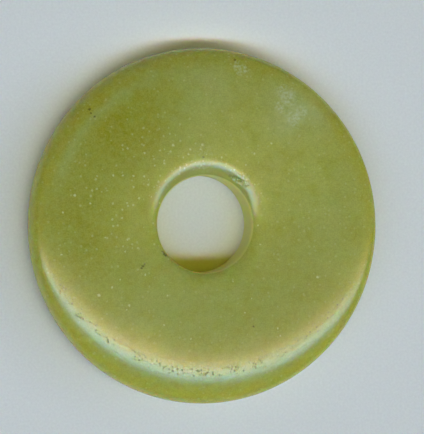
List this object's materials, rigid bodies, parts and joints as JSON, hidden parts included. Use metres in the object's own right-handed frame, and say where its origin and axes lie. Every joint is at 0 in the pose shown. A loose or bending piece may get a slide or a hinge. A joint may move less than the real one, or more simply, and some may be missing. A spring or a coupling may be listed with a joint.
{
  "type": "stone donut pendant",
  "caption": "Flat polished stone ring with rounded shoulders and an eased central hole that a cord or bail goes through, lying on its back face.",
  "frame": {"origin": "on the hole's axis, in the plane of the back face that the ring lies on", "axes": "+Z along the hole's axis, out of the front face; the ring is the same all round, so X and Y are free"},
  "size_m": [0.03, 0.03, 0.0041],
  "materials": {
    "chrysoprase": "gloss"
  },
  "bodies": {
    "root": {"stone_donut": "chrysoprase"}
  },
  "joints": []
}
